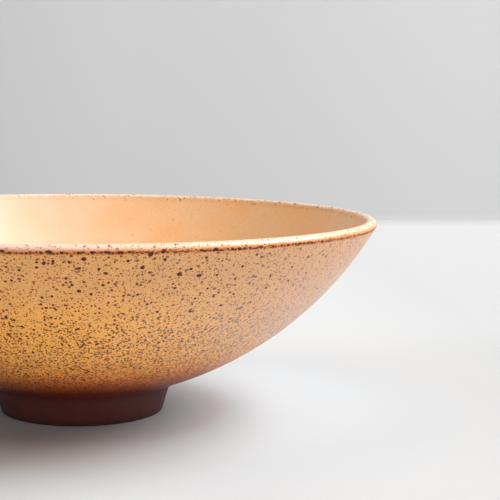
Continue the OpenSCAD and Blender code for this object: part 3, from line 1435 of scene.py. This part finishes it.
@dataclass
class IronSpots:
    """Large iron spots: low domes that lie on the glaze, placed by the photograph and by chance behind."""

    form: BowlForm
    lathe: Lathe
    camera: Camera
    slot: Slot = Slot.OUTER
    seed: int = 11
    chance_count: int = 330
    rings: int = 4
    sides: int = 18
    height: float = 0.07 * MM
    sink: float = 0.004 * MM
    least: float = 1.1 * MM
    spread: float = 0.9 * MM
    growth: float = 1.2
    skin_steps: int = 90
    lip_steps: int = 30
    ray_reach: float = 2.0
    climb: float = 0.6
    low_margin: float = 0.04
    high_margin: float = 0.005
    rarity: int = 3
    squash: float = 0.35

    def skin(self) -> BVHTree:
        """Outer surface of the bowl from the glaze line over the lip, to lay the spots on.

        Returns:
            The searchable surface.
        """
        f = self.form
        wall = arc(f.outer_c, f.outer_r, f.line_angle, f.outer_edge_angle, self.skin_steps)
        lip = arc(f.lip, f.lip_r, f.edge_angle, f.lip_angle + math.pi, self.lip_steps)
        turned = self.lathe.rings(np.vstack([wall[:-1], lip]), False)
        points = self.lathe.hand.sway(turned.points, f)
        return BVHTree.FromPolygons([Vector(p) for p in points], turned.faces)

    def dome(self, skin: BVHTree, seat: Seat) -> tuple[list[Vector], list[float]]:
        """One spot as a dome laid on the surface.

        Args:
            skin: Surface that it lies on.
            seat: Its middle, the direction that the surface faces there, its width and its height.

        Returns:
            Its vertices, and the field of each.
        """
        middle, normal, wide, tall = seat
        around = Vector((0, 0, 1)).cross(normal).normalized()
        up = normal.cross(around)
        points = [middle + normal * self.height]
        fields = [1.0]
        for ring in range(1, self.rings + 1):
            share = ring / self.rings
            for side in range(self.sides):
                turn = TURN * side / self.sides
                across = math.cos(turn) * wide / 2 * share
                rise = math.sin(turn) * tall / 2 * share
                place, facing, _, _ = skin.find_nearest(middle + (around * across + up * rise))
                if facing.dot(normal) < 0:
                    facing = -facing
                lift = self.height * (1 - share**2) - self.sink * share
                points.append(place + facing * lift)
                fields.append(1 - share)
        return points, fields

    def landmarks(self, skin: BVHTree) -> list[Seat]:
        """Spots that the photograph shows.

        Args:
            skin: Surface that they lie on.

        Returns:
            Middle, facing, width and height of each.
        """
        found = []
        for spot in RIM_SPOTS + UPPER_SPOTS + MIDDLE_SPOTS + LOWER_SPOTS:
            ray = self.camera.ray(spot.column, spot.row)
            place, facing, _, _ = skin.ray_cast(self.camera.place, ray, self.ray_reach)
            if place is None:
                continue
            if facing.dot(place - self.camera.place) > 0:
                facing = -facing
            scale = self.growth * MM
            found.append((place, facing, spot.wide * scale, (spot.tall or spot.wide) * scale))
        return found

    def chances(self) -> list[Seat]:
        """Spots for the sides that the photograph doesn't show.

        Returns:
            Middle, facing, width and height of each.
        """
        f = self.form
        dice = random.Random(self.seed)
        lowest = f.line_angle + self.low_margin
        highest = f.outer_edge_angle - self.high_margin
        found = []
        for _ in range(self.chance_count):
            phi = lowest + dice.random() ** self.climb * (highest - lowest)
            theta = dice.random() * TURN
            flat = f.outer_c + f.outer_r * down(phi)
            place = Vector((flat[0] * math.cos(theta), flat[0] * math.sin(theta), flat[1]))
            out = down(phi)
            facing = Vector((out[0] * math.cos(theta), out[0] * math.sin(theta), out[1]))
            wide = self.least + self.spread * dice.random() ** self.rarity
            tall = wide * (1 - self.squash * dice.random())
            if not self.camera.sees(place, facing):
                found.append((place, facing, wide, tall))
        return found

    def make(self) -> bpy.types.Object:
        """Builds all the spots as one piece.

        Returns:
            The object.
        """
        skin = self.skin()
        vertices: list[Vector] = []
        fields: list[float] = []
        faces: list[list[int]] = []
        for seat in self.landmarks(skin) + self.chances():
            base = len(vertices)
            points, levels = self.dome(skin, seat)
            vertices += points
            fields += levels
            for side in range(self.sides):
                after = (side + 1) % self.sides
                faces.append([base, base + 1 + side, base + 1 + after])
                for ring in range(self.rings - 1):
                    inner = base + 1 + ring * self.sides
                    outer = inner + self.sides
                    faces.append([inner + side, outer + side, outer + after, inner + after])
        mesh = bpy.data.meshes.new("iron_spots")
        mesh.from_pydata(vertices, [], faces)
        mesh.attributes.new(IRON_FIELD, "FLOAT", "POINT").data.foreach_set("value", fields)
        mesh.update()
        mesh.shade_smooth()
        return put("iron_spots", mesh)

    def dress(self, piece: bpy.types.Object, material: bpy.types.Material) -> bpy.types.Object:
        """Gives the spots their glaze and their place in the frame.

        Args:
            piece: The spots.
            material: Their material.

        Returns:
            The same piece.
        """
        piece.data.materials.append(material)
        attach(piece, BODY)
        return piece


@dataclass(frozen=True)
class SoftBox:
    """A large soft lamp that looks at the bowl."""

    name: str
    place: tuple[float, float, float]
    watts: float
    wide: float
    tall: float
    aim: tuple[float, float, float] = (0.0, 0.0, 0.05)
    mirrored: bool = True

    def make(self) -> bpy.types.Object:
        """Builds the lamp.

        Returns:
            The lamp object.
        """
        data = bpy.data.lights.new(self.name, "AREA")
        data.shape = "RECTANGLE"
        data.size = self.wide
        data.size_y = self.tall
        data.energy = self.watts
        lamp = put(self.name, data)
        lamp.location = self.place
        lamp.rotation_euler = (Vector(self.aim) - Vector(self.place)).to_track_quat("-Z", "Y").to_euler()
        lamp.visible_camera = False
        lamp.visible_glossy = self.mirrored
        return lamp


@dataclass(frozen=True)
class Fade:
    """A slow change of a paint's colour along an axis, or out from the bowl where the axis is R, which paints
    light and shade on the stage.
    """

    axis: str
    start: float
    end: float
    tint: Colour


@dataclass(frozen=True)
class Studio:
    """Pale table, grey wall behind it and soft light, as in the photograph, with painted light and shade on
    the table and the wall.
    """

    table_colour: Colour = linear(194, 194, 194)
    # Painted light and shade on the table: a cool tint that cancels the bowl's warm bounce light, painted
    # shade round the foot, darker towards the back edge, and brighter and darker patches beside the bowl.
    table_painted_light: tuple[Fade, ...] = (
        Fade("Y", 1.0, 1.11, (0.84, 0.84, 0.84)),
        Fade("R", 0.235, 0.11, (1.01, 1.11, 1.18)),
        Fade("R", 0.085, 0.066, (0.95, 0.88, 0.84)),
        Fade("Y", 0.1, 0.25, (1.08, 1.08, 1.08)),
        Fade("X", 0.05, 0.12, (1.05, 1.05, 1.05)),
        Fade("X", 0.14, 0.3, (0.9, 0.9, 0.9)),
    )
    table_back: float = 1.11
    table_reach: float = 3.0
    wall_colour: Colour = linear(204, 204, 204)
    # Painted light on the wall: brighter to the right, darker to the left and brighter low down; the wall
    # also glows, standing for light falling on it.
    wall_painted_light: tuple[Fade, ...] = (
        Fade("X", 0.1, 0.8, (1.1, 1.1, 1.1)),
        Fade("X", 0.1, -0.3, (0.9, 0.9, 0.9)),
        Fade("Z", -0.045, -0.061, (1.06, 1.06, 1.06)),
    )
    wall_glow: float = 0.11
    wall_place: float = 1.8
    wall_reach: float = 1.6
    wall_low: float = -1.0
    wall_high: float = 3.5
    paint_grain: float = 4 * MM
    paint_depth: float = 0.01
    paint_rough: float = 0.6
    paint_gloss: float = 0.2
    sky: float = 0.1
    horizon: float = 0.6
    horizon_top: float = 0.26
    horizon_full: float = 0.16
    lamps: tuple[SoftBox, ...] = (
        SoftBox("key_right", (8.64, 0.1, 8.4), 2420.0, 8.74, 7.97),
        SoftBox("soft_left", (-4.5, -0.6, 7.8), 190.0, 5.0, 5.0, mirrored=False),
        SoftBox("fill_front", (0.4, -7.6, 2.6), 228.0, 10.0, 4.0, mirrored=False),
    )

    def panel(self, name: str, corners: Sequence[tuple[float, float, float]]) -> bpy.types.Object:
        """A flat sheet of the stage.

        Args:
            name: Name of the sheet.
            corners: Its corners in order.

        Returns:
            The object.
        """
        mesh = bpy.data.meshes.new(name)
        mesh.from_pydata(list(corners), [], [list(range(len(corners)))])
        mesh.update()
        return put(name, mesh)

    def painted(
        self, name: str, colour: Colour, fades: Sequence[Fade], glow: float = 0.0
    ) -> bpy.types.Material:
        """Matt paint that changes slowly over the sheet.

        Args:
            name: Name of the material.
            colour: Its colour.
            fades: Painted light and shade, as slow changes of the colour.
            glow: Light that the paint gives off.

        Returns:
            The material.
        """
        graph = Graph.material(name)
        point = graph.node("ShaderNodeTexCoord", output="Object")
        x, y, z = graph.split(point)
        axes = {"X": x, "Y": y, "Z": z, "R": graph.length(x, y)}
        grain = graph.noise(point, self.paint_grain, CLOUD_OCTAVES)
        paint: Any = colour
        for fade in fades:
            paint = graph.mix(graph.ease(axes[fade.axis], fade.start, fade.end), paint, fade.tint, "MULTIPLY")
        paint = graph.shade(paint, 1 + self.paint_depth * (grain - HALF))
        sockets: dict[str | int, Any] = {"Base Color": paint, "Roughness": self.paint_rough}
        if glow:
            sockets["Emission Color"] = paint
            sockets["Emission Strength"] = glow
        return graph.surface({"Specular IOR Level": self.paint_gloss, **sockets})

    def surroundings(self) -> bpy.types.World:
        """Dim room with a paler band round its horizon.

        Returns:
            The world.
        """
        graph = Graph(bpy.data.worlds.new("studio"), "ShaderNodeOutputWorld")
        _, _, height = graph.split(graph.node("ShaderNodeTexCoord", output="Generated"))
        light = graph.ease(height, self.horizon_top, self.horizon_full, self.sky, self.horizon, "LINEAR")
        return graph.close(graph.node("ShaderNodeBackground", {}, {"Color": WHITE, "Strength": light}))

    def make(self) -> None:
        """Builds the stage, the lamps and the surroundings."""
        reach, back = self.table_reach, self.table_back
        front = [(-reach, -reach, 0.0), (reach, -reach, 0.0)]
        table = self.panel("table", [*front, (reach, back, 0.0), (-reach, back, 0.0)])
        table.data.materials.append(self.painted("table_paint", self.table_colour, self.table_painted_light))
        wide, far = self.wall_reach, self.wall_place
        foot = [(-wide, far, self.wall_low), (wide, far, self.wall_low)]
        wall = self.panel("wall", [*foot, (wide, far, self.wall_high), (-wide, far, self.wall_high)])
        paint = self.painted("wall_paint", self.wall_colour, self.wall_painted_light, self.wall_glow)
        wall.data.materials.append(paint)
        for lamp in self.lamps:
            lamp.make()
        bpy.context.scene.world = self.surroundings()
        bpy.context.scene.view_settings.view_transform = "Standard"
        bpy.context.scene.view_settings.look = "None"


FINE_SPECKS = Specks(
    spacing=1.15 * MM,
    size=0.44 * MM,
    softness=0.05 * MM,
    share=0.8,
    colour=linear(140, 44, 10),
    low_colour=linear(132, 18, 0),
    low_growth=0.0,
)

DENSE_SPECKS = Specks(
    spacing=1.7 * MM,
    size=0.64 * MM,
    softness=0.07 * MM,
    share=0.9,
    colour=linear(124, 38, 12),
    low_colour=linear(104, 8, 0),
    low_growth=0.1,
    high_share=0.22,
)

MEDIUM_SPECKS = Specks(
    spacing=2.6 * MM,
    size=0.8 * MM,
    softness=0.1 * MM,
    share=0.55,
    colour=linear(112, 34, 26),
    low_colour=linear(98, 10, 0),
    low_growth=0.1,
    warp=0.8,
)

LARGE_SPECKS = Specks(
    spacing=5.5 * MM,
    size=0.95 * MM,
    softness=0.14 * MM,
    share=0.4,
    colour=linear(86, 34, 42),
    low_colour=linear(64, 10, 2),
    low_growth=0.1,
    warp=0.8,
)

FAINT_SPECKS = Specks(
    spacing=3.4 * MM,
    size=0.6 * MM,
    softness=0.4 * MM,
    share=0.5,
    colour=linear(208, 140, 80),
    low_colour=linear(208, 140, 80),
    strength=0.4,
)

SOFT_SPECKS = Specks(
    spacing=9.0 * MM,
    size=1.0 * MM,
    softness=0.6 * MM,
    share=0.4,
    colour=linear(206, 136, 78),
    low_colour=linear(206, 136, 78),
    strength=0.5,
)

# The outer coat keeps the default painted sheen, a painted reflection on its +X side.
OUTER_FINISH = GlazeFinish(
    coat=Coat.OUTER,
    high_colour=linear(229, 169, 106),
    low_colour=linear(255, 184, 94),
    pool_and_shade_colour=linear(120, 48, 20),
    roughness=0.3,
    gloss=0.13,
    specks=(FINE_SPECKS, DENSE_SPECKS, MEDIUM_SPECKS, LARGE_SPECKS),
)

LINER_FINISH = GlazeFinish(
    coat=Coat.LINER,
    high_colour=linear(245, 200, 150),
    low_colour=linear(213, 153, 86),
    pool_and_shade_colour=linear(213, 153, 86),
    roughness=0.34,
    gloss=0.42,
    specks=(SOFT_SPECKS, FAINT_SPECKS),
    lip_specks=(FINE_SPECKS, MEDIUM_SPECKS),
    cloud_grain=26 * MM,
    cloud_share=0.5,
    cloud_low=0.3,
    cloud_high=0.8,
    mottle=0.6,
    tone_top=78 * MM,
    tone_foot=36 * MM,
    # The inside's painted sheen is a painted highlight towards -X, high on the wall.
    painted_sheen=linear(238, 200, 188),
    sheen_from=80 * MM,
    sheen_full=-60 * MM,
    sheen_share=0.5,
    sheen_low=76 * MM,
    sheen_foot=36 * MM,
    sheen_least=1.0,
)


def main() -> None:
    """Builds the camera, the bowl's pieces and the studio in order."""
    logging.basicConfig(level=logging.INFO, format="%(name)s: %(message)s")
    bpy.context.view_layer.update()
    form = BowlForm()
    lathe = Lathe(form, Hand())
    camera = Camera()
    camera.make()
    clay = ClayFinish().build("bare_clay")
    golden = OUTER_FINISH.build("golden_glaze", form)
    pieces: list[tuple[BowlPiece, list[bpy.types.Material]]] = [
        (ClayWall(form, lathe), [clay, golden]),
        (FootRing(form, lathe), [clay]),
        (OuterGlaze(form, lathe), [golden]),
        (LinerGlaze(form, lathe), [LINER_FINISH.build("liner_glaze_coat", form)]),
    ]
    for maker, materials in pieces:
        made = maker.dress(maker.make(), *materials)
        log.info("%s stands for %s, %d faces", made.name, maker.node, len(made.data.polygons))
    spots = IronSpots(form, lathe, camera)
    made = spots.dress(spots.make(), OUTER_FINISH.build("iron_spot_glaze", form, spotted=True))
    log.info("%s, %d faces", made.name, len(made.data.polygons))
    Studio().make()
    log.info("studio is set")


if __name__ == "__main__":
    main()
